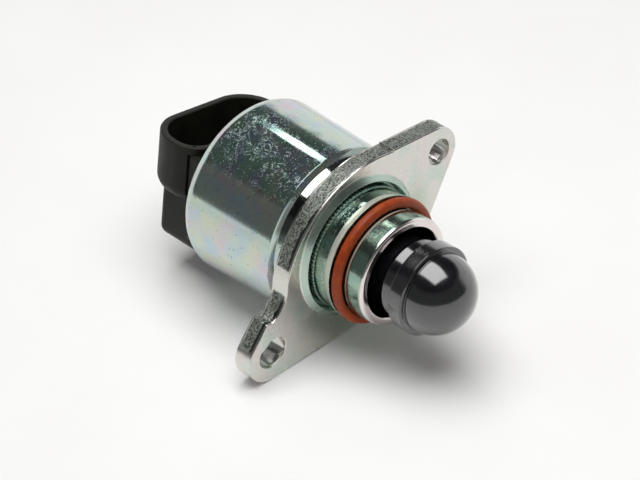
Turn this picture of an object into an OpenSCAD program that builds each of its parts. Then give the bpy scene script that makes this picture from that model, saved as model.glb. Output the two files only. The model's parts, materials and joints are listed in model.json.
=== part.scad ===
// Idle air control valve: a small stepper motor in a plated steel can that screws a
// pintle in and out of the nose. The valve axis is X, the pintle points to +X, the
// plug socket opens to +Z, and X = 0 is the front face of the mounting plate.

/* [Can] */
// Outer diameter of the drawn can at its rear rim
can_d = 36; // [35:0.5:40]
// Length of the can behind the mounting plate
can_len = 24.6; // [22:0.1:30]
// Sheet thickness of the can
can_wall = 1; // [0.7:0.1:1.2]
// How much the can's radius shrinks from its rear rim to its front
can_draft = 0.65; // [0.2:0.05:0.9]
// Outer radius of the drawn front shoulder
shoulder_r = 3; // [2:0.1:4]
// Width of the rear rim that is rolled in over the cap
rim_lip = 2; // [1.6:0.1:2.6]

/* [Mounting plate] */
// Thickness of the stamped plate
plate_t = 4; // [3:0.1:5]
// Turn of the line of bolt holes about the valve axis, from +Y
plate_turn = 36.8; // [20:0.2:60]
// Distance from the valve axis to the round bolt hole
round_ear = 24; // [23:0.1:27]
// Distance from the valve axis to the middle of the slotted bolt hole
slot_ear = 25.6; // [25:0.1:28]
// How far the line of bolt holes passes below the valve axis
ear_drop = 1.45; // [0:0.05:2]
// Diameter of the round bolt hole
bolt_d = 5.3; // [4.2:0.1:6]
// Width of the slotted bolt hole
slot_w = 5.4; // [4.4:0.1:6]
// Length of the slotted bolt hole, end to end
slot_len = 6.6; // [6.2:0.1:7.4]
// Radius of the round tip of the ear with the round hole
round_tip_r = 5.4; // [5:0.1:6]
// Radius of the round tip of the ear with the slot
slot_tip_r = 5.4; // [5:0.1:6]
// Radius of the plate round the can
plate_r = 18.45; // [17.5:0.05:19]
// Radius of the flatter arc along the plate's upper edge
crown_r = 22.5; // [21:0.5:26]
// Distance from the valve axis to that upper edge
crown_reach = 15.4; // [15.2:0.1:16.5]
// Height of the drawn lip round the plate's centre hole
lip_h = 1.1; // [0.6:0.1:1.5]
// Width of that lip where it leaves the plate
lip_w = 1.4; // [1.2:0.1:2]

/* [Nose] */
// Length of the nose in front of the plate
nose_len = 12.4; // [11.8:0.05:14]
// Radius of the plain barrel behind the ring seal
barrel_r = 12.3; // [12:0.05:12.5]
// Width of the open recess between the barrel and the plate's hole
recess_w = 0.9; // [0.6:0.05:1.2]
// Radius of the land in front of the ring seal
land_r = 11; // [10.8:0.05:11.3]
// Rounding of the mouth's outer edge
mouth_round = 1.1; // [0.6:0.1:1.4]
// Radius of the bore that the pintle slides in
nose_bore_r = 9.2; // [9:0.05:9.6]
// Number of teeth in the knurl at the foot of the barrel
knurl_teeth = 96; // [48:6:120]
// Depth of the knurl
knurl_h = 0.25; // [0.2:0.05:0.5]
// How far the fitted ring seal stands out of the barrel
seal_proud = 0.53; // [0.4:0.01:0.7]
// Section diameter of the ring seal
seal_d = 2.2; // [1.8:0.02:2.4]
// Distance from the plate's face to the middle of the ring seal
seal_x = 6.86; // [6.2:0.02:7]

/* [Pintle] */
// Distance from the plate's face to the pintle's tip at rest
tip_x = 28.5; // [28:0.1:31]
// Radius of the pintle's round end
dome_r = 8; // [7.6:0.1:8.2]
// Clearance between the pintle's ring and the nose bore
pintle_gap = 0.2; // [0.1:0.05:0.4]
// Width of the ring behind the round end
ring_w = 3.2; // [2.6:0.1:3.6]
// Length of the hollow skirt behind the ring
skirt_len = 8.9; // [8:0.1:9.4]
// Wall of the skirt
skirt_wall = 1.6; // [1.2:0.1:1.8]
// Diameter of the lead screw
screw_d = 5; // [4.6:0.1:5.4]
// Distance across the lead screw's two flats
screw_flats = 3.8; // [3.4:0.1:4.2]
// Travel back from rest into the nose
travel_back = 9; // [6:0.5:9]
// Travel forward from rest
travel_out = 1.5; // [0.5:0.1:2]
// Wire diameter of the spring behind the pintle
wire_d = 0.8; // [0.6:0.05:0.9]
// Turns in that spring
spring_turns = 8; // [6:1:9]

/* [Motor] */
// Outer radius of the ring magnet
magnet_r = 8.1; // [7.9:0.05:8.2]
// Air gap between the magnet and the claws
air_gap = 0.35; // [0.25:0.05:0.5]
// Sheet thickness of the stator cups
cup_t = 0.8; // [0.6:0.05:1]
// Claws on each stator cup
claw_count = 6; // [4:1:8]
// Outer radius of the front bearing
bearing_r = 7.2; // [7.1:0.05:7.3]
// Width of the front bearing
bearing_w = 3.8; // [3.4:0.1:4.2]
// Radius of one bearing ball
ball_r = 0.8; // [0.7:0.05:0.85]
// Number of bearing balls
ball_count = 9; // [7:1:10]

/* [Plug socket] */
// Width of the socket across the valve
socket_w = 27; // [26:0.2:30]
// Depth of the socket's outline along the valve axis
socket_d = 14; // [13.4:0.1:16]
// Height of the socket's rim above the valve axis
socket_top = 9; // [8:0.1:11]
// How far the tips of the pins lie below that rim
pin_sink = 4.6; // [3.5:0.1:6]
// Wall of the socket
socket_wall = 1.45; // [1.2:0.05:1.8]
// Depth of the socket, rim to floor
socket_depth = 11.1; // [10.5:0.1:12.5]
// Distance from the can's rear rim to the near side of the socket
socket_setback = 2.8; // [2.6:0.1:4]
// Width of the block below the socket
block_w = 20.2; // [19:0.2:22]
// How far the block reaches below the valve axis
block_drop = 15; // [14.5:0.1:17]
// Spacing of the four terminal pins
pin_pitch = 4; // [3.6:0.1:4.4]
// Width of one terminal pin
pin_w = 1.5; // [1.2:0.1:1.8]
// Thickness of one terminal pin
pin_t = 0.8; // [0.6:0.1:1]

/* [Hidden] */
$fn = 96;

// Clearances: pressed pieces, running pieces, and pieces that only lie near each other
seat = 0.03;
run = 0.06;
loose = 0.1;
over = 1;

// Can: stations along the axis and radii
can_r = can_d / 2;
can_front_x = -plate_t;
can_back_x = can_front_x - can_len;
can_front_r = can_r - can_draft;
rim_round = 1.4 * can_wall;
rim_hole_r = can_r - rim_lip;
function can_inner_r(x) = can_r - can_wall - can_draft * (x - can_back_x) / can_len;

// Plate
plate_hole_r = barrel_r + recess_w;
nick = 0.35;
nick_ear = 12.7;
saddle_r = 3.15;
saddle_rise = 6.3;
saddle_out = 1.2;
hip_r = 3.6;
slot_corner = [-3.9, 0.75];
slot_corner_turn = 112;
crown_side = 97;
crown_mid = (crown_reach - crown_r) * [cos(crown_side), sin(crown_side)];
round_tip = [round_ear - 0.8, -ear_drop + 0.45];
slot_tip = [-slot_ear - 0.7, -ear_drop - 0.35];
bolt_at = [round_ear, -ear_drop];
slot_at = [-slot_ear, -ear_drop];

// Nose: the groove of the ring seal, the web and the tail with the bearing
seal_r = barrel_r + seal_proud;
flare_r = seal_r - 0.2;
flare_round = 0.7;
groove_r = seal_r - seal_d - seat;
groove_w = seal_d + 2 * loose;
groove_back_x = seal_x - groove_w / 2;
groove_front_x = seal_x + groove_w / 2;
web_t = 2;
web_front_x = can_front_x + 1.6;
web_back_x = web_front_x - web_t;
tail_wall = 1.05;
tail_r = bearing_r + seat + tail_wall;
bush_flange_t = 0.6;
bearing_front_x = web_back_x - bush_flange_t - 0.2;
bearing_back_x = bearing_front_x - bearing_w;
tail_back_x = bearing_back_x;

// Pintle: ring, step and round end, from the tip backwards
dome_x = tip_x - dome_r;
ring_x = dome_x - ring_w;
pintle_ring_r = nose_bore_r - pintle_gap;
ring_front_r = pintle_ring_r - 0.3;
skirt_r = pintle_ring_r - 0.9;
skirt_back_x = ring_x - skirt_len;
hollow_r = skirt_r - skirt_wall;
hollow_x = ring_x - 2.1;
screw_r = screw_d / 2;
screw_front_x = hollow_x + 4.2;
screw_hold = 4.8;

// Guide bush and the spring round it
bush_r = screw_r + 1.9;
bush_flange_r = bush_r + 1;
bush_front_x = hollow_x - travel_back - 1.6;
spring_r = (bush_r + hollow_r) / 2;

// Rotor and stator: two equal stages fill the can between its front wall and the cap
cap_front_x = can_back_x + 5.2;
stack_front_x = can_front_x - can_wall - loose;
stack_len = stack_front_x - cap_front_x - loose / 2;
stage_gap = loose;
stage_len = (stack_len - stage_gap) / 2;
claw_r = magnet_r + air_gap;
claw_len = stage_len - 2 * cup_t;
nut_back_x = cap_front_x - 1.8;
magnet_front_x = tail_back_x - 0.6;
magnet_back_x = cap_front_x + 0.4;
magnet_hole_r = 4.6;
race_gap = 1;
pitch_r = bearing_r - 1.75;
front_journal_r = pitch_r - 1.75;
rear_journal_r = front_journal_r - 0.3;
nut_bore_r = screw_r + run;
nut_relief_r = nut_bore_r + 0.4;
nut_len = 8;
screw_back_x = nut_back_x + travel_back + 1.2;
rear_bush_r = rear_journal_r + 1.4;
washer_t = 0.25;

// Bobbins and windings sit between the claws and the outer cup wall
bobbin_wall = 0.6;
bobbin_r = claw_r + cup_t + 0.05;
cup_wall_r = can_inner_r(stack_front_x) - loose;
bobbin_flange_r = cup_wall_r - cup_t - 0.3;
coil_r = bobbin_flange_r - 0.4;

// Cap, socket and block
cap_r = can_inner_r(cap_front_x) - loose;
cap_back_x = can_back_x + can_wall + 0.05;
neck_r = rim_hole_r - loose;
socket_near_x = can_back_x - socket_setback;
socket_far_x = socket_near_x - socket_d;
far_corner_r = 7.4;
near_corner_r = 5.6;
socket_floor = socket_top - socket_depth;
skirt_floor_t = 1.2;
skirt_bottom = socket_floor - skirt_floor_t;
block_far_x = socket_far_x + 2.1;
block_near_x = can_back_x - 0.2;
neck_w = socket_w - 2.6;
neck_top = socket_top - 1.5;
groove_cut = 0.4;
groove_deep = 0.8;
groove_x = socket_near_x - 2.5;
pin_x = (socket_far_x + socket_near_x) / 2;
pin_top = socket_top - pin_sink;
pin_leg_z = -9;
pin_front_x = cap_front_x - 0.4;
cap_seal_d = 1.4;
cap_seal_r = can_inner_r((cap_front_x + cap_back_x) / 2) - seat;

// Points along an arc, from angle a0 to a1
function arc(mid, r, a0, a1, n = 8) =
    [for (i = [0 : n]) mid + r * [cos(a0 + (a1 - a0) * i / n), sin(a0 + (a1 - a0) * i / n)]];

// Turns a profile of [radius, x] points about the valve axis
module turned(points) {
    rotate([0, 90, 0]) rotate_extrude() polygon(points);
}

// A plain sleeve from x0 to x1
module sleeve(x0, x1, r_out, r_in) {
    translate([x0, 0, 0]) rotate([0, 90, 0]) difference() {
        cylinder(h = x1 - x0, r = r_out);
        translate([0, 0, -over]) cylinder(h = x1 - x0 + 2 * over, r = r_in);
    }
}

// A plain round bar from x0 to x1
module bar(x0, x1, r) {
    translate([x0, 0, 0]) rotate([0, 90, 0]) cylinder(h = x1 - x0, r = r);
}

// Extrudes a drawing of the Y-Z plane from x0 to x1
module along_x(x0, x1) {
    translate([x0, 0, 0]) rotate([90, 0, 90]) linear_extrude(height = x1 - x0) children();
}

// The round screw section with its two flats, grown by a clearance
module double_d(grow = 0) {
    intersection() {
        circle(r = screw_r + grow);
        square([screw_d + 2 * over, screw_flats + 2 * grow], center = true);
    }
}

// A rectangle with one corner radius on its low-x side and another on its high-x side
module soft_rectangle(x0, x1, half, r0, r1) {
    polygon([[x0, -half + r0], [x0 + r0, -half], [x1 - r1, -half], [x1, -half + r1],
        [x1, half - r1], [x1 - r1, half], [x0 + r0, half], [x0, half - r0]]);
    for (side = [-1, 1]) {
        translate([x0 + r0, side * (half - r0)]) circle(r = r0);
        translate([x1 - r1, side * (half - r1)]) circle(r = r1);
    }
}

// Drawn can with a rounded front shoulder and a rim rolled in over the cap
module motor_can() {
    inner_shoulder = shoulder_r - can_wall;
    hole_r = tail_r + seat;
    outside = concat(
        [[hole_r, can_front_x]],
        arc([can_front_r - shoulder_r, can_front_x - shoulder_r], shoulder_r, 90, 0),
        arc([can_r - rim_round, can_back_x + rim_round], rim_round, 0, -90, 5),
        [[rim_hole_r, can_back_x]]);
    inside = concat(
        [[rim_hole_r, can_back_x + can_wall], [can_r - can_wall, can_back_x + can_wall]],
        arc([can_front_r - shoulder_r, can_front_x - shoulder_r], inner_shoulder, 0, 90),
        [[hole_r, can_front_x - can_wall]]);
    color("#b9c4bd") turned(concat(outside, inside));
}

// Line of the outer edge that two ear circles share: the tangent point of a circle
function tangent_at(mid, r, a) = mid + r * [cos(a), sin(a)];

// Angle of the outer tangent's normal, from circle 1 to circle 2
function tangent_angle(m1, r1, m2, r2, side) =
    let (d = m2 - m1) atan2(d[1], d[0]) + side * acos((r1 - r2) / norm(d));

// Outline of the stamped plate, with +x along the ear that has the round hole
module plate_outline() {
    round_up = tangent_angle(crown_mid, crown_r, round_tip, round_tip_r, 1);
    round_low = tangent_angle([0, 0], plate_r, round_tip, round_tip_r, -1);
    slot_low = tangent_angle([0, 0], plate_r, slot_tip, slot_tip_r, 1);
    round_start = tangent_at(round_tip, round_tip_r, round_up);
    edge_way = [-sin(round_up), cos(round_up)];
    step_in = round_start + (round_ear - nick_ear) * edge_way;
    saddle = [-plate_r - saddle_out, ear_drop + saddle_rise];
    corner = saddle + slot_corner - [0, saddle_r];
    hip = [saddle[0] + saddle_r + hip_r, saddle[1]];
    intersection() {
        circle(r = plate_r);
        translate(crown_mid) circle(r = crown_r);
    }
    polygon([[0, 0],
        tangent_at([0, 0], plate_r, round_low), tangent_at(round_tip, round_tip_r, round_low),
        round_tip, tangent_at(round_tip, round_tip_r, round_up), step_in,
        step_in - nick * [cos(round_up), sin(round_up)], tangent_at(crown_mid, crown_r, round_up)]);
    translate(round_tip) circle(r = round_tip_r);
    intersection() {
        translate(hip) circle(r = hip_r);
        translate(crown_mid) circle(r = crown_r);
    }
    polygon([[0, 0], hip, [saddle[0] + saddle_r, saddle[1]], [saddle[0] + saddle_r, saddle[1] - saddle_r],
        [saddle[0], saddle[1] - saddle_r], corner,
        tangent_at(slot_tip, slot_tip_r, slot_corner_turn), slot_tip,
        tangent_at(slot_tip, slot_tip_r, slot_low), tangent_at([0, 0], plate_r, slot_low)]);
    translate(slot_tip) circle(r = slot_tip_r);
    difference() {
        translate(saddle + [0, -saddle_r]) square(saddle_r);
        translate(saddle) circle(r = saddle_r);
    }
}

// Stamped mounting plate: two unequal ears, a drawn lip round the centre hole
module mounting_plate() {
    slot_half = (slot_len - slot_w) / 2;
    color("#c9cfc8") {
        difference() {
            along_x(-plate_t, 0) rotate(plate_turn) difference() {
                plate_outline();
                translate(bolt_at) circle(d = bolt_d);
                for (end = [-1, 1]) translate(slot_at + [end * slot_half, 0]) circle(d = slot_w);
                translate(slot_at) square([2 * slot_half, slot_w], center = true);
            }
            bar(-plate_t - over, over, plate_hole_r);
        }
        turned(concat([[plate_hole_r, -plate_t / 2], [plate_hole_r + lip_w / 2, -plate_t / 2]],
            [[plate_hole_r + lip_w, -0.01], [plate_hole_r + 0.25, lip_h],
                [plate_hole_r, lip_h - 0.2]]));
    }
}

// Turned nose: foot pressed in the plate, knurl, barrel, seal groove, mouth and bearing tail
module nose_collar() {
    foot_r = plate_hole_r - seat;
    foot_x = -1;
    color("#a9b8ae") {
        turned(concat(
            [[bush_r + seat, web_back_x], [bearing_r + seat, web_back_x],
                [bearing_r + seat, tail_back_x], [tail_r, tail_back_x], [tail_r, can_front_x],
                [foot_r, can_front_x], [foot_r, foot_x], [barrel_r, foot_x],
                [barrel_r, groove_back_x - flare_round - 0.5]],
            arc([barrel_r + flare_round, groove_back_x - flare_round - 0.5], flare_round, 180, 150, 3),
            [[flare_r, groove_back_x - 0.5], [flare_r, groove_back_x],
                [groove_r, groove_back_x], [groove_r, groove_front_x],
                [land_r - 0.15, groove_front_x], [land_r, groove_front_x + 0.15],
                [land_r, nose_len - mouth_round]],
            arc([land_r - mouth_round, nose_len - mouth_round], mouth_round, 0, 90, 6),
            [[nose_bore_r + 0.2, nose_len], [nose_bore_r, nose_len - 0.3],
                [nose_bore_r, web_front_x], [bush_r + seat, web_front_x]]));
        along_x(foot_x - 0.2, lip_h + knurl_h) difference() {
            polygon([for (i = [0 : 2 * knurl_teeth - 1])
                let (a = 180 * i / knurl_teeth, r = barrel_r + (i % 2 == 0 ? 0.02 : knurl_h))
                r * [cos(a), sin(a)]]);
            circle(r = barrel_r - 0.5);
        }
    }
}

// Rubber ring seal in its groove
module ring_seal() {
    color("#a3502a") translate([seal_x, 0, 0]) rotate([0, 90, 0]) rotate_extrude()
        translate([seal_r - seal_d / 2, 0]) circle(d = seal_d, $fn = 48);
}

// Moulded pintle: hollow skirt, ring, step and round end
module pintle_head() {
    color("#1b1b1d") turned(concat(
        [[0, screw_front_x + seat], [screw_r + seat, screw_front_x + seat],
            [screw_r + seat, hollow_x], [hollow_r, hollow_x], [hollow_r, skirt_back_x],
            [skirt_r, skirt_back_x], [skirt_r, ring_x - 1.3], [pintle_ring_r - 0.25, ring_x],
            [pintle_ring_r, ring_x + 0.25], [ring_front_r, dome_x - 0.2],
            [ring_front_r - 0.2, dome_x], [dome_r, dome_x]],
        arc([0, dome_x], dome_r, 0, 90, 24)));
}

// Lead screw with two flats along its whole length and chamfered ends
module lead_screw() {
    chamfer = 0.5;
    color("#8d9093") intersection() {
        along_x(screw_back_x, screw_front_x) double_d();
        turned([[0, screw_back_x], [screw_r - chamfer, screw_back_x],
            [screw_r, screw_back_x + chamfer], [screw_r, screw_front_x - chamfer],
            [screw_r - chamfer, screw_front_x], [0, screw_front_x]]);
    }
}

// Helical wire from the nose web to the roof of the pintle's hollow
module return_spring() {
    sides = 8;
    steps = 14;
    rings = spring_turns * steps;
    x0 = web_front_x + wire_d / 2 + seat;
    x1 = hollow_x - wire_d / 2 - seat;
    function ring_x_at(i) =
        let (t = i / rings, dead = 1 / spring_turns)
        t < dead ? x0 + wire_d * t / dead
        : t > 1 - dead ? x1 - wire_d * (1 - t) / dead
        : x0 + wire_d + (x1 - x0 - 2 * wire_d) * (t - dead) / (1 - 2 * dead);
    points = [for (i = [0 : rings]) for (j = [0 : sides - 1])
        let (a = 360 * i / steps, b = 360 * j / sides, r = spring_r + wire_d / 2 * cos(b))
        [ring_x_at(i) + wire_d / 2 * sin(b), r * cos(a), r * sin(a)]];
    walls = [for (i = [0 : rings - 1]) for (j = [0 : sides - 1])
        let (k = (j + 1) % sides)
        [i * sides + j, i * sides + k, (i + 1) * sides + k, (i + 1) * sides + j]];
    first = [for (j = [sides - 1 : -1 : 0]) j];
    last = [for (j = [0 : sides - 1]) rings * sides + j];
    color("#77797b") polyhedron(points, concat([first], walls, [last]), convexity = 10);
}

// Bush in the nose web, whose flats keep the screw from turning
module guide_bush() {
    color("#b08d4a") difference() {
        union() {
            bar(web_back_x, bush_front_x, bush_r);
            bar(web_back_x - bush_flange_t, web_back_x, bush_flange_r);
        }
        along_x(web_back_x - bush_flange_t - over, bush_front_x + over) double_d(run);
    }
}

// Groove that the balls run in, cut in both races
module ball_groove() {
    translate([bearing_front_x - bearing_w / 2, 0, 0]) rotate([0, 90, 0]) rotate_extrude()
        translate([pitch_r, 0]) circle(r = ball_r + run, $fn = 32);
}

module bearing_outer_race() {
    color("#9a9da0") difference() {
        sleeve(bearing_back_x, bearing_front_x, bearing_r, pitch_r + race_gap / 2);
        ball_groove();
    }
}

module bearing_inner_race() {
    color("#9a9da0") difference() {
        sleeve(bearing_back_x, bearing_front_x, pitch_r - race_gap / 2, front_journal_r + seat);
        ball_groove();
    }
}

// Places one copy for each ball on the pitch circle
module at_balls() {
    for (i = [0 : ball_count - 1])
        translate([bearing_front_x - bearing_w / 2, 0, 0])
            rotate([360 * i / ball_count, 0, 0]) translate([0, pitch_r, 0]) children();
}

module bearing_cage() {
    cage_t = 0.5;
    cage_w = 2 * ball_r + 1.2;
    middle = bearing_front_x - bearing_w / 2;
    color("#b3945a") difference() {
        sleeve(middle - cage_w / 2, middle + cage_w / 2, pitch_r + cage_t / 2, pitch_r - cage_t / 2);
        at_balls() rotate([90, 0, 0]) cylinder(h = 2, r = ball_r + run, center = true, $fn = 32);
    }
}

module bearing_balls() {
    color("#c8cacc") at_balls() sphere(r = ball_r, $fn = 32);
}

// Plain bush for the rotor's rear journal
module rear_bush() {
    color("#b08d4a") sleeve(nut_back_x, cap_front_x - washer_t, rear_bush_r, rear_journal_r + run);
}

module thrust_washer() {
    color("#c7a23c") sleeve(cap_front_x - washer_t, cap_front_x, rear_bush_r, rear_journal_r + run);
}

// Ring magnet of the rotor
module rotor_magnet() {
    color("#3a3a3d") turned([
        [magnet_hole_r + seat, magnet_back_x], [magnet_r - 0.3, magnet_back_x],
        [magnet_r, magnet_back_x + 0.3], [magnet_r, magnet_front_x - 0.3],
        [magnet_r - 0.3, magnet_front_x], [magnet_hole_r + seat, magnet_front_x]]);
}

// Rotor hub and nut in one moulding, with a journal at each end
module rotor_nut() {
    nut_back = magnet_front_x - nut_len;
    color("#d9d3bf") turned([
        [nut_bore_r, bearing_front_x], [front_journal_r, bearing_front_x],
        [front_journal_r, bearing_back_x - 0.1], [magnet_hole_r, bearing_back_x - 0.1],
        [magnet_hole_r, magnet_back_x], [rear_journal_r, magnet_back_x],
        [rear_journal_r, nut_back_x], [nut_relief_r, nut_back_x],
        [nut_relief_r, nut_back - 0.4], [nut_bore_r, nut_back]]);
}

// The trapezoid claws of one cup, pointing to -x from x = 0, cut from a thin tube
module claws(turn) {
    root_w = 0.82 * PI * claw_r / claw_count;
    tip_w = 0.4 * root_w;
    intersection() {
        sleeve(-claw_len, 0, claw_r + cup_t, claw_r);
        for (i = [0 : claw_count - 1])
            rotate([turn + 360 * i / claw_count, 0, 0]) translate([0, 0, claw_r - 2])
                linear_extrude(height = 4) polygon([[over / 4, -root_w / 2], [over / 4, root_w / 2],
                    [-claw_len, tip_w / 2], [-claw_len, -tip_w / 2]]);
    }
}

// Shape of the can's inside, less a gap, that limits the outer cups
module inside_can() {
    inner_shoulder = shoulder_r - can_wall;
    turned(concat([[0, can_back_x], [can_r - can_wall - loose, can_back_x]],
        arc([can_front_r - shoulder_r, can_front_x - shoulder_r], inner_shoulder - loose, 0, 90),
        [[0, can_front_x - can_wall - loose]]));
}

// Outer cup of a stage: disc, wall and claws
module outer_cup(front_x) {
    intersection() {
        union() {
            sleeve(front_x - cup_t, front_x, cup_wall_r, claw_r);
            sleeve(front_x - stage_len, front_x - cup_t / 2, cup_wall_r, cup_wall_r - cup_t);
            translate([front_x - cup_t, 0, 0]) claws(0);
        }
        inside_can();
    }
}

// Inner cup of a stage: a disc that closes the outer cup, with claws between its claws
module inner_cup(back_x) {
    sleeve(back_x, back_x + cup_t, cup_wall_r - cup_t - run, claw_r);
    translate([back_x + cup_t, 0, 0]) mirror([1, 0, 0]) claws(180 / claw_count);
}

function stage_front_x(stage) = stack_front_x - stage * (stage_len + stage_gap);

// Moulded spool round the claws of a stage
module bobbin(stage) {
    x1 = stage_front_x(stage) - cup_t - 0.05;
    x0 = x1 - claw_len + 0.1;
    color("#e4dfd0") {
        sleeve(x0, x1, bobbin_r + bobbin_wall, bobbin_r);
        sleeve(x0, x0 + bobbin_wall, bobbin_flange_r, bobbin_r);
        sleeve(x1 - bobbin_wall, x1, bobbin_flange_r, bobbin_r);
    }
}

// Winding that fills a spool
module coil(stage) {
    x1 = stage_front_x(stage) - cup_t - 0.05 - bobbin_wall - seat;
    x0 = x1 - claw_len + 0.1 + 2 * (bobbin_wall + seat);
    color("#b5652b") sleeve(x0, x1, coil_r, bobbin_r + bobbin_wall + seat);
}

// Path of one terminal: a blade up into the socket and a leg forward into the can
module pin_shape(grow = 0) {
    half_w = pin_w / 2 + grow;
    half_t = pin_t / 2 + grow;
    translate([pin_x - half_t, -half_w, pin_leg_z - half_t])
        cube([2 * half_t, 2 * half_w, pin_top - pin_leg_z + half_t + grow]);
    translate([pin_x - half_t, -half_w, pin_leg_z - half_t])
        cube([pin_front_x - pin_x + half_t + grow, 2 * half_w, 2 * half_t]);
}

module terminal_pin(i) {
    tip = 0.45;
    color("#c9b36a") translate([0, (i - 1.5) * pin_pitch, 0]) difference() {
        pin_shape();
        for (side = [-1, 1]) {
            translate([pin_x, side * pin_w / 2, pin_top]) rotate([45, 0, 0])
                cube([2 * pin_t, tip, tip], center = true);
            translate([pin_x + side * pin_t / 2, 0, pin_top]) rotate([0, 45, 0])
                cube([tip / 2, 2 * pin_w, tip / 2], center = true);
        }
    }
}

// Outline of the socket, seen from above, shrunk by a wall
module socket_outline(wall = 0) {
    soft_rectangle(socket_far_x + wall, socket_near_x - wall, socket_w / 2 - wall,
        far_corner_r - wall, near_corner_r - wall);
}

// Front view of the socket's body, with rounded lower corners
module socket_front() {
    lower_r = 3;
    half = socket_w / 2;
    polygon([[-half, socket_top], [-half, skirt_bottom + lower_r], [-half + lower_r, skirt_bottom],
        [half - lower_r, skirt_bottom], [half, skirt_bottom + lower_r], [half, socket_top]]);
    for (side = [-1, 1])
        translate([side * (half - lower_r), skirt_bottom + lower_r]) circle(r = lower_r);
}

// Front view of the block under the socket, with rounded lower corners
module block_front() {
    lower_r = 2.4;
    half = block_w / 2;
    low = -block_drop;
    polygon([[-half, 0], [-half, low + lower_r], [-half + lower_r, low],
        [half - lower_r, low], [half, low + lower_r], [half, 0]]);
    for (side = [-1, 1]) translate([side * (half - lower_r), low + lower_r]) circle(r = lower_r);
}

// Moulded cap: disc under the rolled rim, neck, block and plug socket
module connector_cap() {
    rim_soft = 0.3;
    latch_w = 5;
    color("#161617") difference() {
        union() {
            bar(cap_back_x, cap_front_x, cap_r);
            intersection() {
                bar(socket_near_x - 2.4, cap_back_x + 0.1, neck_r);
                translate([socket_near_x - 3, -neck_w / 2, -can_r])
                    cube([can_len, neck_w, can_r + neck_top]);
            }
            intersection() {
                translate([0, 0, skirt_bottom])
                    linear_extrude(height = socket_top - skirt_bottom) socket_outline();
                along_x(socket_far_x, socket_near_x) socket_front();
            }
            intersection() {
                along_x(block_far_x, block_near_x) block_front();
                translate([0, 0, -can_d]) linear_extrude(height = 2 * can_d)
                    soft_rectangle(block_far_x, block_near_x, block_w / 2, 1.6, 0.4);
            }
            translate([socket_far_x + 0.2, latch_w / 2, 0]) rotate([90, 0, 0])
                linear_extrude(height = latch_w)
                    polygon([[0, -2.4], [-1.3, -1.2], [-1.3, -0.4], [0, 4.2]]);
        }
        translate([0, 0, socket_floor])
            linear_extrude(height = socket_depth + over) socket_outline(socket_wall);
        translate([0, 0, socket_top - rim_soft])
            linear_extrude(height = over) socket_outline(socket_wall - rim_soft);
        for (side = [-1, 1])
            translate([groove_x, side * neck_w / 2 - groove_deep, -can_r])
                cube([groove_cut, 2 * groove_deep, can_r + neck_top]);
        for (i = [0 : 3]) translate([0, (i - 1.5) * pin_pitch, 0]) pin_shape(seat);
        bar(nut_back_x, cap_front_x + over, rear_bush_r + seat);
        bar(nut_back_x - 0.6, cap_front_x, rear_journal_r + 0.4);
        cap_groove();
    }
}

// Groove for the small seal round the cap
module cap_groove() {
    middle = (cap_front_x + cap_back_x) / 2;
    sleeve(middle - cap_seal_d / 2 - loose, middle + cap_seal_d / 2 + loose,
        cap_r + over, cap_seal_r - cap_seal_d - seat);
}

module cap_seal() {
    middle = (cap_front_x + cap_back_x) / 2;
    color("#2b2b2b") translate([middle, 0, 0]) rotate([0, 90, 0]) rotate_extrude()
        translate([cap_seal_r - cap_seal_d / 2, 0]) circle(d = cap_seal_d, $fn = 32);
}

motor_can();
mounting_plate();
nose_collar();
ring_seal();
pintle_head();
lead_screw();
return_spring();
guide_bush();
bearing_outer_race();
bearing_inner_race();
bearing_cage();
bearing_balls();
rear_bush();
thrust_washer();
rotor_magnet();
rotor_nut();
color("#9fa5a3") outer_cup(stage_front_x(0));  // stator_cup_1
color("#9fa5a3") inner_cup(stage_front_x(0) - stage_len);  // stator_cup_2
color("#9fa5a3") outer_cup(stage_front_x(1));  // stator_cup_3
color("#9fa5a3") inner_cup(stage_front_x(1) - stage_len);  // stator_cup_4
bobbin(0);  // bobbin_1
bobbin(1);  // bobbin_2
coil(0);  // coil_1
coil(1);  // coil_2
connector_cap();
cap_seal();
terminal_pin(0);  // terminal_pin_1
terminal_pin(1);  // terminal_pin_2
terminal_pin(2);  // terminal_pin_3
terminal_pin(3);  // terminal_pin_4
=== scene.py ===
"""Looks of an idle air control valve: a drawn zinc-plated can with a stepper motor in it, a
moulded plug socket behind, a stamped two-bolt plate, and a turned nose with a rubber ring
seal and a sliding pintle. Sizes here are in millimetres; a mesh is made in metres."""

import json
import math

import bmesh
import bpy
from mathutils import Matrix, Quaternion, Vector


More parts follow.
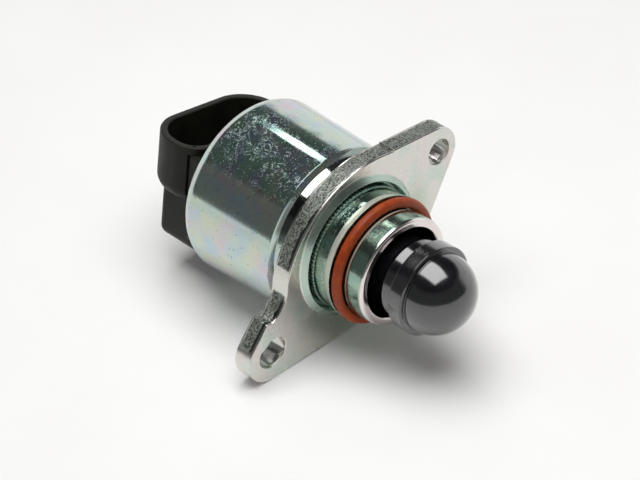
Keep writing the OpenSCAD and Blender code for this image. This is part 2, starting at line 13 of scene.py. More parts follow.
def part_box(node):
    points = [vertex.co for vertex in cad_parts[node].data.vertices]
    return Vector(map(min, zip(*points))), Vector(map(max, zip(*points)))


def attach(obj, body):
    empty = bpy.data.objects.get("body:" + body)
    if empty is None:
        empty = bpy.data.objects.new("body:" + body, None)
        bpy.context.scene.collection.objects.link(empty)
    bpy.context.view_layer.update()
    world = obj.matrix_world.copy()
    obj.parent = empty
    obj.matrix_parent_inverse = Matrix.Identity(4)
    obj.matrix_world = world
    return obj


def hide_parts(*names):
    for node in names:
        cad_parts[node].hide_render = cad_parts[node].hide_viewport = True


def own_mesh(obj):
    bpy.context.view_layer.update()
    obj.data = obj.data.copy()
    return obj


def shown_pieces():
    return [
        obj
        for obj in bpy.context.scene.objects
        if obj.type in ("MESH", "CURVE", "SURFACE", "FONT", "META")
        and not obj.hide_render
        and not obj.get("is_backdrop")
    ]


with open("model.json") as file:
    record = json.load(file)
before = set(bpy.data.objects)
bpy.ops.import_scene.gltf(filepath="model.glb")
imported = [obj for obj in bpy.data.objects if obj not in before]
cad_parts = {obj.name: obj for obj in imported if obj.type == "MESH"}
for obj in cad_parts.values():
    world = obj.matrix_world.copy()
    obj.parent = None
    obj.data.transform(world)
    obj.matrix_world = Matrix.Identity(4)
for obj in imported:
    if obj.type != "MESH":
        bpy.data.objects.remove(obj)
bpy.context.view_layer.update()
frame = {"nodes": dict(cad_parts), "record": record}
scene = bpy.context.scene
scene.view_settings.view_transform = "Standard"

MM = 0.001
AROUND, FINE_AROUND = 192, 256
SHARP_EDGE = math.radians(34)

# Can: a flat front, a small step out to the wall, and a rear rim rolled in over the cap
CAN_FRONT_X, CAN_BACK_X = -4.0, -28.6
CAN_R, CAN_FRONT_R, CAN_WALL = 18.0, 17.35, 1.0
CAN_HOLE_R, RIM_HOLE_R = 8.34, 16.0
FLAT_R, STEP_X, STEP_R, WALL_X = 15.5, -5.3, 16.1, -5.85
INNER_FLAT_R, INNER_WALL_X = 14.0, -7.2

# Mounting plate: its own plane has +x along the ear with the round hole
PLATE_T, PLATE_TURN, PLATE_R = 4.0, 36.8, 18.45
CROWN_MID, CROWN_R, CROWN_END = Vector((0.865, -7.047)), 22.5, 137.2
ROUND_TIP, ROUND_TIP_R = Vector((23.2, -1.0)), 5.395
SLOT_TIP, SLOT_TIP_R, SLOT_TIP_START = Vector((-26.3, -1.8)), 5.395, 112
ROUND_HOLE, ROUND_HOLE_R = Vector((24.0, -1.45)), 2.65
SLOT_HOLE, SLOT_HOLE_R, SLOT_HALF = Vector((-25.6, -1.45)), 2.7, 0.6
SADDLE, SADDLE_R, SADDLE_START, SADDLE_END = Vector((-21.55, 10.6)), 6.25, -42, -96
SADDLE_FOOT = [Vector((-23.1, 5.2)), Vector((-23.45, 5.25))]
NICK_FROM_TIP, NICK = 11.3, 0.2
PLATE_HOLE_R, LIP_H, LIP_W = 13.2, 1.1, 1.4
FRONT_SOFT, BACK_SOFT = 0.22, 0.14

# Nose: a foot in the can, a web, a flange in the plate, knurl, barrel, seal groove and land
FOOT_X, FOOT_R, BEARING_R = -9.0, 8.28, 7.23
WEB_BACK_X, WEB_FRONT_X, WEB_HOLE_R = -4.4, -2.4, 4.43
FLANGE_X, FLANGE_R = -1.0, 13.17
BARREL_R, KNURL_TEETH, KNURL_H = 12.3, 96, 0.25
KNURL_BACK_X, KNURL_FRONT_X = -1.2, 1.35
FLARE_R, FLARE_EDGE_R = 12.7, 12.6
SEAL_X, SEAL_R, SEAL_D = 6.86, 12.83, 2.2
NOSE_LEN, NOSE_BORE_R, LAND_R, MOUTH_ROUND = 12.4, 9.2, 11.0, 1.1
MOUTH_X, MOUTH_R = 12.1, 9.4

# Pintle: a hollow skirt, a ring, and a round end with the lead screw's hole behind it
SKIRT_X, SKIRT_R, SPRING_ROOM_X, SPRING_ROOM_R = 8.4, 7.3, 15.2, 6.5
SCREW_HOLE_X, SCREW_HOLE_R = 19.43, 2.53
RING_BACK_X, RING_FRONT_X, RING_R = 17.2, 20.25, 9.0
DOME_X, DOME_R = 20.5, 8.0

# Return spring
WIRE_D, SPRING_TURNS, PINTLE_TRAVEL = 0.8, 8, 9.0

# Plug socket, the keyed block under it, and the neck that joins them to the can
SOCKET_FAR_X, SOCKET_NEAR_X, SOCKET_HALF = -45.4, -31.4, 13.5
FAR_CORNER_R, NEAR_CORNER_R, SOCKET_WALL = 7.4, 5.6, 1.45
SOCKET_TOP, SOCKET_FLOOR, SKIRT_BOTTOM = 9.0, -2.1, -3.3
RIM_SOFT, FLOOR_SOFT, NOTCH = 0.3, 0.5, 1.0
BLOCK_FAR_X, BLOCK_NEAR_X, BLOCK_HALF, BLOCK_LOW = -43.3, -28.8, 10.1, -15.0
BLOCK_FAR_R, BLOCK_NEAR_R = 1.6, 1.5
NECK_HALF, NECK_TOP, NECK_R = 12.2, 7.5, 15.9
NECK_FAR_X, NECK_NEAR_X = -33.5, -27.6
LATCH_HALF = 2.5

# Cap's disc inside the can, with a groove for its seal and a seat for the rear bush
DISC_BACK_X, DISC_BACK_R, DISC_FRONT_X, DISC_FRONT_R = -27.55, 16.85, -23.4, 16.77
CAP_GROOVE_R, CAP_GROOVE_HALF = 15.5, 0.8
BUSH_SEAT_X, BUSH_SEAT_R, JOURNAL_X, JOURNAL_R = -25.2, 4.82, -25.8, 3.85


# ---- mesh tools


def full_turn(count):
    """Angles of count equal steps round a circle, in radians."""
    return [2 * math.pi * i / count for i in range(count)]


def quarter_turn(count):
    """Cosine and sine at the ends of count equal steps over a quarter turn."""
    turns = [math.radians(90 * k / count) for k in range(count + 1)]
    return [(math.cos(a), math.sin(a)) for a in turns]


def about_axis(x, r, turns):
    """Points at radius r about the valve axis."""
    return [(x, r * math.cos(a), r * math.sin(a)) for a in turns]


def arc(mid, radius, start, end, step=4.0):
    """Points on an arc, angles in degrees, end point included."""
    count = max(2, math.ceil(abs(end - start) / step))
    turns = [math.radians(start + (end - start) * i / count) for i in range(count + 1)]
    return [Vector((mid[0] + radius * math.cos(a), mid[1] + radius * math.sin(a))) for a in turns]


def softened(corners, steps=5, closed=True):
    """A line through corners (x, y, rounding), with each corner rounded off."""
    line = []
    last = len(corners) - 1
    for i, (x, y, size) in enumerate(corners):
        here = Vector((x, y))
        if not size or (not closed and i in (0, last)):
            line.append(here)
            continue
        back = Vector(corners[i - 1][:2]) - here
        ahead = Vector(corners[(i + 1) % len(corners)][:2]) - here
        half = back.angle(ahead) / 2
        reach = min(size / math.tan(half), 0.49 * back.length, 0.49 * ahead.length)
        radius = reach * math.tan(half)
        middle = (back.normalized() + ahead.normalized()).normalized()
        mid = here + middle * radius / math.sin(half)
        a0 = math.atan2(*(here + back.normalized() * reach - mid).yx)
        a1 = math.atan2(*(here + ahead.normalized() * reach - mid).yx)
        sweep = (a1 - a0 + math.pi) % (2 * math.pi) - math.pi
        for k in range(steps + 1):
            a = a0 + sweep * k / steps
            line.append(mid + radius * Vector((math.cos(a), math.sin(a))))
    return line


class Shell:
    """Rings of points, in millimetres, skinned into one mesh."""

    def __init__(self):
        self.points = []
        self.faces = []

    def ring(self, points):
        """Adds points and gives their numbers."""
        first = len(self.points)
        self.points.extend(Vector(p) for p in points)
        return list(range(first, len(self.points)))

    def skin(self, a, b):
        """Joins two rings of one length, or a ring and a point."""
        if len(a) == 1 or len(b) == 1:
            point, ring = (a[0], b) if len(a) == 1 else (b[0], a)
            for i in range(len(ring)):
                self.faces.append((point, ring[i], ring[(i + 1) % len(ring)]))
            return
        for i in range(len(a)):
            j = (i + 1) % len(a)
            self.faces.append((a[i], a[j], b[j], b[i]))

    def stack(self, rings, lids=True):
        """Skins rings in order, closes both ends if asked to, and gives the rings' numbers."""
        loops = [self.ring(r) for r in rings]
        for a, b in zip(loops, loops[1:]):
            self.skin(a, b)
        if lids:
            self.faces += [tuple(loops[0][::-1]), tuple(loops[-1])]
        return loops

    def lathe(self, profile, closed=True, around=AROUND):
        """Turns a line of (x, radius) points about the valve axis."""
        turns = full_turn(around)
        loops = self.stack([about_axis(x, r, turns) if r >= 1e-6 else [(x, 0, 0)]
                            for x, r in profile], lids=False)
        if closed:
            self.skin(loops[-1], loops[0])

    def piece(self, name, body, slot, *stands_for):
        """Makes the mesh object, seats it on its body and gives it its finish."""
        mesh = bpy.data.meshes.new(name)
        mesh.from_pydata([p * MM for p in self.points], [], self.faces)
        mesh.validate()
        tidy = bmesh.new()
        tidy.from_mesh(mesh)
        bmesh.ops.remove_doubles(tidy, verts=tidy.verts, dist=1e-7)
        bmesh.ops.recalc_face_normals(tidy, faces=tidy.faces)
        for face in tidy.faces:
            face.smooth = True
        tidy.to_mesh(mesh)
        tidy.free()
        mesh.set_sharp_from_angle(angle=SHARP_EDGE)
        obj = bpy.data.objects.new(name, mesh)
        scene.collection.objects.link(obj)
        weighted = obj.modifiers.new("even_normals", "WEIGHTED_NORMAL")
        weighted.keep_sharp = True
        mesh.materials.append(FINISHES[slot])
        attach(obj, body)
        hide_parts(*stands_for)
        return obj


# ---- node tools


def feed(tree, socket, value):
    """Joins a socket to another, or sets its value."""
    if isinstance(value, bpy.types.NodeSocket):
        tree.links.new(value, socket)
    else:
        socket.default_value = value


def add(tree, kind, values=(), **settings):
    """A new shader node with its settings made and its inputs fed."""
    node = tree.nodes.new("ShaderNode" + kind)
    for name, value in settings.items():
        setattr(node, name, value)
    for name, value in dict(values).items():
        feed(tree, node.inputs[name], value)
    return node


def sums(tree, operation, *values, clamp=False):
    """A sum on one to three values."""
    node = add(tree, "Math", dict(enumerate(values)), operation=operation, use_clamp=clamp)
    return node.outputs[0]


def times(tree, product, *others):
    """The product of all values given."""
    for other in others:
        product = sums(tree, "MULTIPLY", product, other)
    return product


def times_plus(tree, a, b, c, clamp=False):
    """a times b, plus c."""
    return sums(tree, "MULTIPLY_ADD", a, b, c, clamp=clamp)


def between(tree, value, low, high, out_low=0.0, out_high=1.0):
    """Maps low..high to out_low..out_high with a smooth step."""
    values = dict(enumerate((value, low, high, out_low, out_high)))
    return add(tree, "MapRange", values, interpolation_type="SMOOTHSTEP").outputs[0]


def falls(tree, value, low, high):
    """One below low and nothing above high."""
    return between(tree, value, low, high, 1.0, 0.0)


def contour(tree, value, thin, wide):
    """A thin line where value passes one half."""
    off_line = sums(tree, "ABSOLUTE", sums(tree, "SUBTRACT", value, 0.5))
    return falls(tree, off_line, thin, wide)


def from_middle(tree, a, b):
    """Length of the line (a, b)."""
    return sums(tree, "SQRT", times_plus(tree, a, a, times(tree, b, b)))


def blend(tree, share, a, b):
    """Colour a, with share of colour b."""
    node = add(tree, "Mix", {0: share, 6: a, 7: b}, data_type="RGBA", blend_type="MIX")
    return node.outputs[2]


def mixed(tree, share, a, b):
    """Shader a, with share of shader b."""
    return add(tree, "MixShader", {0: share, 1: a, 2: b}).outputs[0]


def parted(tree, vector):
    """The three parts of a place or a direction."""
    return add(tree, "SeparateXYZ", {"Vector": vector}).outputs


def noise(tree, place, size, detail=3.0, rough=0.55, twist=0.0):
    """Noise whose lumps are about size millimetres across."""
    node = add(tree, "TexNoise", {"Vector": place, "Scale": 1 / (size * MM), "Detail": detail,
                                  "Roughness": rough, "Distortion": twist})
    return node.outputs[0]


def spots(tree, place, scale, core, rim):
    """Scattered round spots, and the chances drawn for each of them."""
    cells = add(tree, "TexVoronoi", {"Vector": place, "Scale": scale}).outputs
    chances = add(tree, "SeparateColor", {"Color": cells["Color"]}).outputs
    return falls(tree, cells["Distance"], core, rim), chances


def rgb(r, g, b):
    """A colour as it looks in a picture, 0 to 255, as shader values."""
    def plain(c):
        c /= 255
        return c / 12.92 if c <= 0.04045 else ((c + 0.055) / 1.055) ** 2.4
    return (plain(r), plain(g), plain(b), 1.0)


def new_group(name, inputs, outputs):
    """An effect as a node group. Inputs are (name, kind, value), outputs names of values."""
    tree = bpy.data.node_groups.new(name, "ShaderNodeTree")
    for label, kind, value in inputs:
        socket = tree.interface.new_socket(label, in_out="INPUT", socket_type="NodeSocket" + kind)
        if value is not None:
            socket.default_value = value
    for label in outputs:
        tree.interface.new_socket(label, in_out="OUTPUT", socket_type="NodeSocketFloat")
    given, out = tree.nodes.new("NodeGroupInput"), tree.nodes.new("NodeGroupOutput")
    return tree, given.outputs, out.inputs


def use(tree, group, **values):
    """A node group set to work in a material, with its inputs fed."""
    node = tree.nodes.new("ShaderNodeGroup")
    node.node_tree = group
    for name, value in values.items():
        feed(tree, node.inputs[name], value)
    return node.outputs


def plating_marks():
    """Stains of the plating bath: cloudy patches, bright specks, dark pits and a fine grain."""
    tree, given, out = new_group(
        "plating_marks",
        [("Place", "Vector", None), ("Patch", "Float", 4.0), ("Speck", "Float", 0.5)],
        ["Patches", "Specks", "Pits", "Grain"])

    def scaled(size, share):
        """Scale of a texture whose lumps are share of size."""
        return sums(tree, "DIVIDE", 1000.0, times(tree, size, share))

    place = given["Place"]
    patches = add(tree, "TexNoise", {"Vector": place, "Scale": scaled(given["Patch"], 1.0),
                                     "Detail": 3.0})
    grain = add(tree, "TexNoise", {"Vector": place, "Scale": scaled(given["Speck"], 0.5),
                                   "Detail": 4.0, "Roughness": 0.65})
    near, chances = spots(tree, place, scaled(given["Speck"], 1.0), 0.1, 0.3)
    feed(tree, out["Patches"], patches.outputs[0])
    feed(tree, out["Specks"], times(tree, near, between(tree, chances[0], 0.72, 0.8)))
    feed(tree, out["Pits"], times(tree, near, between(tree, chances[1], 0.86, 0.92)))
    feed(tree, out["Grain"], grain.outputs[0])
    return tree


def turned_lines():
    """Fine rings left by a lathe tool, as a height."""
    tree, given, out = new_group(
        "turned_lines", [("Place", "Vector", None), ("Pitch", "Float", 0.12)], ["Height"])
    along = times(tree, parted(tree, given["Place"])[0], 1000.0)
    along = sums(tree, "DIVIDE", along, given["Pitch"])
    lines = add(tree, "TexNoise", {"W": along, "Scale": 1.0, "Detail": 2.0},
                noise_dimensions="1D")
    feed(tree, out["Height"], lines.outputs[0])
    return tree


def moulded_skin():
    """Surface of moulded plastic or rubber: fine grain, soft waves and a little dust."""
    tree, given, out = new_group(
        "moulded_skin", [("Place", "Vector", None), ("Grain", "Float", 0.12)],
        ["Height", "Cloud", "Dust"])
    place = given["Place"]
    grain = add(tree, "TexNoise", {"Vector": place, "Detail": 3.0,
                                   "Scale": sums(tree, "DIVIDE", 1000.0, given["Grain"])})
    waves = noise(tree, place, 5.0, 2.0)
    near, chances = spots(tree, place, 1 / (0.55 * MM), 0.05, 0.16)
    feed(tree, out["Height"], times_plus(tree, waves, 3.0, grain.outputs[0]))
    feed(tree, out["Cloud"], noise(tree, place, 3.0, 4.0))
    feed(tree, out["Dust"], times(tree, near, between(tree, chances[0], 0.9, 0.93)))
    return tree


PLATING_MARKS = plating_marks()
TURNED_LINES = turned_lines()
MOULDED_SKIN = moulded_skin()


def finish_of(name, plain=()):
    """A new material: its tree, its shader and the place on the piece."""
    material = bpy.data.materials.new(name)
    material.use_nodes = True
    tree = material.node_tree
    shader = tree.nodes["Principled BSDF"]
    for label, value in dict(plain).items():
        shader.inputs[label].default_value = value
    place = add(tree, "TexCoord").outputs["Object"]
    return material, tree, shader, place


def bumped(tree, shader, height, depth):
    """Bumps of depth millimetres."""
    node = add(tree, "Bump", {"Height": height, "Distance": depth * MM, "Strength": 1.0})
    feed(tree, shader.inputs["Normal"], node.outputs[0])


# ---- finishes


def zinc_can_finish():
    """Clear zinc plating, nearly a mirror, with frost marks of the bath on its upper side and a
    painted dark reflection under them.
    """
    material, tree, shader, place = finish_of("zinc_can")
    marks = use(tree, PLATING_MARKS, Place=place, Patch=4.5, Speck=0.34)
    at = parted(tree, place)

    # The frosted zone, where a dark reflection is also painted: high on the near side, off the rear
    # rim and off the shoulder
    waver = noise(tree, place, 3.0, 3.0)
    height = times_plus(tree, waver, 5.0, times(tree, at[2], 1000.0))
    side = times_plus(tree, waver, 6.0, times(tree, at[1], 1000.0))
    off_rim = between(tree, at[0], (CAN_BACK_X + 1.3) * MM, (CAN_BACK_X + 2.3) * MM)
    shoulder = between(tree, at[0], (WALL_X + 0.05) * MM, (WALL_X + 0.3) * MM)
    upper = times(tree, between(tree, height, 11.5, 14.0), falls(tree, side, 0.5, 4.5),
                  off_rim, sums(tree, "SUBTRACT", 1.0, shoulder))
    cloud = times(tree, upper, between(tree, noise(tree, place, 3.4, 4.0, 0.6, 0.6), 0.4, 0.6))
    curls = contour(tree, noise(tree, place, 1.7, 4.0, 0.6, 1.2), 0.004, 0.026)
    curls = times(tree, curls, cloud)
    flecks = between(tree, noise(tree, place, 0.42, 3.0, 0.7), 0.58, 0.68)
    flecks = times(tree, flecks, upper)
    dots = times(tree, marks["Specks"], between(tree, height, 10.5, 13.0, 0.08, 1.0))

    # Faint tints of the clear plating, and a stretch of the shoulder painted dark as shade
    tint = between(tree, noise(tree, place, 8.0, 2.0), 0.4, 0.6)
    colour = blend(tree, tint, rgb(186, 202, 192), rgb(197, 202, 184))
    tint = between(tree, noise(tree, place, 5.0, 3.0), 0.42, 0.7)
    colour = blend(tree, tint, colour, rgb(178, 196, 206))
    tint = between(tree, noise(tree, place, 6.5, 2.0), 0.5, 0.75)
    colour = blend(tree, tint, colour, rgb(200, 190, 197))
    # Painted shade on a stretch of the shoulder next to the plate
    painted_shoulder_shade = times(tree, falls(tree, at[2], 11 * MM, 12.5 * MM),
                    between(tree, at[2], 4 * MM, 6 * MM), 0.8, shoulder)
    colour = blend(tree, painted_shoulder_shade, colour, rgb(66, 72, 66))

    # A painted dark reflection in green and grey under the frost, then pale curls and flecks, nicks
    # and bright dots
    tint = between(tree, noise(tree, place, 3.2), 0.42, 0.6)
    painted_dark_reflection = blend(tree, tint, rgb(76, 112, 98), rgb(80, 96, 114))
    tint = between(tree, noise(tree, place, 4.1), 0.54, 0.7)
    painted_dark_reflection = blend(tree, tint, painted_dark_reflection, rgb(112, 110, 112))
    colour = blend(tree, times(tree, upper, 0.85), colour, painted_dark_reflection)
    colour = blend(tree, times(tree, curls, 0.7), colour, rgb(178, 194, 184))
    colour = blend(tree, times(tree, flecks, 0.45), colour, rgb(186, 206, 198))
    nicks = between(tree, noise(tree, place, 0.75, 3.0, 0.65), 0.645, 0.68)
    pits = sums(tree, "MAXIMUM", times(tree, marks["Pits"], 0.5), times(tree, nicks, 0.75))
    colour = blend(tree, pits, colour, rgb(112, 120, 114))
    feed(tree, shader.inputs["Base Color"], blend(tree, dots, colour, rgb(240, 246, 242)))

    milky = times_plus(tree, upper, 0.22, times(tree, curls, 0.3))
    milky = times_plus(tree, dots, 0.4, milky, clamp=True)
    feed(tree, shader.inputs["Metallic"], sums(tree, "SUBTRACT", 1.0, milky))
    rough = between(tree, marks["Patches"], 0.3, 0.7, 0.05, 0.08)
    rough = sums(tree, "ADD", rough, between(tree, height, 9.0, 13.0, 0.08, 0.0))
    rough = times_plus(tree, curls, 0.25, rough)
    feed(tree, shader.inputs["Roughness"], times_plus(tree, flecks, 0.12, rough))
    bumps = times_plus(tree, marks["Pits"], -1.2, times(tree, marks["Grain"], 0.6))
    bumped(tree, shader, times_plus(tree, curls, 0.6, bumps), 0.0035)
    return material


def zinc_plate_finish():
    """Stamped plate: satin faces, and an edge torn to a granular fracture behind a smooth strip
    painted dark as shade.
    """
    material, tree, shader, place = finish_of("zinc_plate")
    marks = use(tree, PLATING_MARKS, Place=place, Patch=7.0, Speck=0.3)
    at = parted(tree, place)

    # Where a spot lies in the plate's own plane, in millimetres
    cos, sin = (1000 * part(math.radians(PLATE_TURN)) for part in (math.cos, math.sin))
    along = times_plus(tree, at[1], cos, times(tree, at[2], sin))
    across = times_plus(tree, at[2], cos, times(tree, at[1], -sin))
    around = from_middle(tree, along, across)
    depth = times(tree, at[0], 1000.0)

    tint = between(tree, marks["Patches"], 0.35, 0.65)
    colour = blend(tree, tint, rgb(213, 212, 205), rgb(216, 210, 206))
    tint = between(tree, noise(tree, place, 6.0, 3.0), 0.48, 0.7)
    colour = blend(tree, tint, colour, rgb(198, 210, 200))
    specks = between(tree, noise(tree, place, 0.8, 4.0, 0.7), 0.5, 0.75)
    colour = blend(tree, times(tree, specks, 0.35), colour, rgb(168, 170, 162))
    colour = blend(tree, times(tree, marks["Pits"], 0.5), colour, rgb(120, 122, 116))
    # Painted reflection and shade of the nose: greenish and darker on the face below it
    painted_nose_reflection = times(tree, between(tree, around, 15.5, 20.5, 0.8, 0.0),
                  falls(tree, across, -6.0, 1.0))
    colour = blend(tree, painted_nose_reflection, colour, rgb(176, 188, 172))
    lip_foot = PLATE_HOLE_R + LIP_W
    lip = times(tree, between(tree, around, lip_foot - 0.1, lip_foot + 0.1, 0.8, 0.0),
                between(tree, at[0], 0.05 * MM, 0.3 * MM))
    colour = blend(tree, lip, colour, rgb(166, 190, 176))

    # The upper edge from ear to ear, without the hip between crown and saddle: a smooth strip in
    # front, painted dark as shade, and the tear behind it
    turn = parted(tree, add(tree, "TexCoord").outputs["Normal"])
    side = falls(tree, sums(tree, "ABSOLUTE", turn[0]), 0.2, 0.5)
    hip = between(tree, sums(tree, "ABSOLUTE", sums(tree, "ADD", along, 15.4)), 1.5, 1.9)
    zone = times(tree, between(tree, along, -29.2, -28.4), between(tree, across, 1.3, 1.8),
                 hip, side)
    ragged = sums(tree, "ADD", noise(tree, place, 1.4, 3.0), depth)
    strip = sums(tree, "SUBTRACT", ragged, between(tree, along, -8.0, 2.0, -0.55, 0.0))
    torn = times(tree, falls(tree, strip, -0.2, 0.05), between(tree, ragged, -3.2, -2.9), zone)
    # The smooth strip in front of the tear is darkened as painted shade
    dull = sums(tree, "SUBTRACT", falls(tree, depth, -0.5, -0.38), torn)
    dull = sums(tree, "MULTIPLY", times(tree, dull, zone), between(tree, depth, -2.6, -2.3),
                clamp=True)
    colour = blend(tree, times(tree, dull, 0.85), colour, rgb(58, 63, 58))
    sparkle = noise(tree, place, 0.4, 4.0, 0.75)
    torn_colour = blend(tree, between(tree, sparkle, 0.42, 0.6), rgb(52, 58, 52),
                        rgb(158, 163, 154))
    feed(tree, shader.inputs["Base Color"], blend(tree, torn, colour, torn_colour))

    glint = between(tree, sparkle, 0.58, 0.66, 0.55, 0.95)
    feed(tree, shader.inputs["Metallic"], add(tree, "Mix", {0: torn, 2: 1.0, 3: glint}).outputs[0])
    rough = between(tree, marks["Patches"], 0.3, 0.7, 0.22, 0.3)
    rough = times_plus(tree, side, -0.06, rough)
    feed(tree, shader.inputs["Roughness"], times_plus(tree, torn, 0.14, rough))
    torn_bump = times(tree, sparkle, torn, 14.0)
    bumped(tree, shader, sums(tree, "ADD", marks["Grain"], torn_bump), 0.008)
    return material


def zinc_nose_finish():
    """Turned and plated nose: fine rings, frost specks, painted shade in the gaps between the
    knurl's teeth, and a flare painted pale as a highlight.
    """
    material, tree, shader, place = finish_of("zinc_nose")
    marks = use(tree, PLATING_MARKS, Place=place, Patch=3.0, Speck=0.26)
    lines = use(tree, TURNED_LINES, Place=place, Pitch=0.16)
    at = parted(tree, place)
    turn = parted(tree, add(tree, "TexCoord").outputs["Normal"])
    # The flare, facing back, is painted pale with less metal as a highlight
    painted_flare_highlight = falls(tree, turn[0], -0.2, -0.1)
    on_land = between(tree, at[0], 7.5 * MM, 8.5 * MM)
    frost = times(tree, between(tree, noise(tree, place, 0.5, 4.0, 0.7), 0.52, 0.64),
                  times_plus(tree, on_land, -0.55, 0.9), times_plus(tree, painted_flare_highlight, -0.8, 1.0))
    tint = between(tree, marks["Patches"], 0.35, 0.65)
    colour = blend(tree, tint, rgb(136, 172, 160), rgb(158, 180, 162))
    colour = blend(tree, times(tree, frost, 0.6), colour, rgb(206, 220, 216))
    colour = blend(tree, painted_flare_highlight, colour, rgb(230, 230, 216))
    mouth = times(tree, between(tree, turn[0], 0.25, 0.6), between(tree, at[0], 9 * MM, 10 * MM))
    colour = blend(tree, mouth, colour, rgb(230, 221, 218))
    # Painted shade in the gaps between the knurl's teeth
    painted_gap_shade = times(tree, falls(tree, from_middle(tree, at[1], at[2]), 12.36 * MM, 12.48 * MM),
                 falls(tree, at[0], 1.1 * MM, 1.45 * MM))
    colour = blend(tree, times(tree, painted_gap_shade, 0.9), colour, rgb(30, 52, 46))
    feed(tree, shader.inputs["Base Color"], colour)
    feed(tree, shader.inputs["Metallic"], times_plus(tree, painted_flare_highlight, -0.45, 1.0))
    rough = between(tree, marks["Patches"], 0.3, 0.7, 0.12, 0.18)
    rough = times_plus(tree, frost, 0.14, rough)
    on_knurl = falls(tree, at[0], 1.3 * MM, 1.6 * MM)
    feed(tree, shader.inputs["Roughness"], times_plus(tree, on_knurl, 0.25, rough))
    bumps = times_plus(tree, marks["Grain"], 0.6, lines["Height"])
    bumped(tree, shader, times_plus(tree, frost, 0.8, bumps), 0.003)
    return material


def orange_rubber_finish():
    """Brown-orange rubber of the ring seal."""
    material, tree, shader, place = finish_of("orange_rubber", {"Specular IOR Level": 0.3})
    skin = use(tree, MOULDED_SKIN, Place=place, Grain=0.16)
    colour = blend(tree, between(tree, skin["Cloud"], 0.35, 0.7), rgb(138, 50, 9), rgb(164, 66, 16))
    feed(tree, shader.inputs["Base Color"], blend(tree, skin["Dust"], colour, rgb(196, 140, 104)))
    feed(tree, shader.inputs["Roughness"], between(tree, skin["Cloud"], 0.3, 0.7, 0.36, 0.5))
    bumped(tree, shader, skin["Height"], 0.008)
    return material


def plastic_finish(name, dark, pale, rough_low, rough_high, grain, depth, plain=()):
    """Moulded plastic or plain rubber with a slight change of tone and a little dust."""
    material, tree, shader, place = finish_of(name, plain)
    skin = use(tree, MOULDED_SKIN, Place=place, Grain=grain)
    tone = between(tree, skin["Cloud"], 0.3, 0.7)
    colour = blend(tree, tone, rgb(*dark), rgb(*pale))
    dusty = blend(tree, times(tree, skin["Dust"], 0.5), colour, rgb(120, 118, 112))
    feed(tree, shader.inputs["Base Color"], dusty)
    rough = between(tree, skin["Cloud"], 0.3, 0.7, rough_low, rough_high)
    feed(tree, shader.inputs["Roughness"], rough)
    bumped(tree, shader, skin["Height"], depth)
    return material


def metal_finish(name, dark, pale, rough_low, rough_high, depth=0.006):
    """Plain metal of the inner pieces: a slight change of tone and a fine grain."""
    material, tree, shader, place = finish_of(name, {"Metallic": 1.0})
    marks = use(tree, PLATING_MARKS, Place=place, Patch=2.5, Speck=0.3)
    tone = between(tree, marks["Patches"], 0.3, 0.7)
    feed(tree, shader.inputs["Base Color"], blend(tree, tone, rgb(*dark), rgb(*pale)))
    rough = between(tree, marks["Patches"], 0.3, 0.7, rough_low, rough_high)
    feed(tree, shader.inputs["Roughness"], rough)
    bumped(tree, shader, marks["Grain"], depth)
    return material


def winding_finish():
    """Enamelled copper wire wound in rows along the spool, darker in the creases between rows as
    painted shade.
    """
    material, tree, shader, place = finish_of("winding", {"Coat Weight": 0.6})
    along = parted(tree, place)[0]
    rows = sums(tree, "SINE", times(tree, along, 2 * math.pi / (0.22 * MM)))
    # Painted shade: darker copper in the creases between the rows
    share = between(tree, rows, -1.0, 0.6)
    feed(tree, shader.inputs["Base Color"], blend(tree, share, rgb(92, 40, 18), rgb(196, 104, 52)))
    feed(tree, shader.inputs["Roughness"], between(tree, rows, -1.0, 1.0, 0.5, 0.3))
    bumped(tree, shader, rows, 0.04)
    return material


# For each slot: dark and pale tone, low and high roughness, size of grain, depth of bumps
MOULDED = {
    "pintle_plastic": ((12, 12, 15), (18, 18, 21), 0.14, 0.2, 0.2, 0.0015,
                       {"Coat Weight": 1.0, "Coat Roughness": 0.12, "Coat IOR": 1.68,
                        "Specular IOR Level": 0.75}),
    "cap_plastic": ((22, 22, 17), (30, 30, 23), 0.42, 0.54, 0.12, 0.006,
                    {"Specular IOR Level": 0.22}),
    "hub_plastic": ((206, 198, 176), (220, 214, 196), 0.35, 0.45, 0.15, 0.008),
    "bobbin_plastic": ((214, 208, 190), (230, 226, 212), 0.4, 0.5, 0.15, 0.008),
    "black_rubber": ((34, 34, 34), (48, 47, 46), 0.45, 0.6, 0.18, 0.01),
}

# For each slot: dark and pale tone, low and high roughness, and in some the depth of bumps
METALS = {
    "bright_steel": ((150, 152, 154), (190, 192, 194), 0.18, 0.3),
    "spring_steel": ((110, 112, 116), (150, 152, 156), 0.25, 0.35),
    "bush_brass": ((150, 116, 60), (196, 160, 92), 0.3, 0.42),
    "ball_chrome": ((206, 208, 210), (222, 224, 226), 0.06, 0.1, 0.001),
    "magnet_ferrite": ((50, 50, 54), (70, 70, 74), 0.5, 0.65, 0.02),
    "stator_steel": ((140, 146, 144), (176, 182, 180), 0.3, 0.42),
    "pin_metal": ((176, 156, 104), (212, 196, 150), 0.22, 0.34),
}

FINISHES = {
    "zinc_can": zinc_can_finish(),
    "zinc_plate": zinc_plate_finish(),
    "zinc_nose": zinc_nose_finish(),
    "orange_rubber": orange_rubber_finish(),
    "winding": winding_finish(),
}
FINISHES.update({slot: plastic_finish(slot, *look) for slot, look in MOULDED.items()})
FINISHES.update({slot: metal_finish(slot, *look) for slot, look in METALS.items()})


# ---- pieces


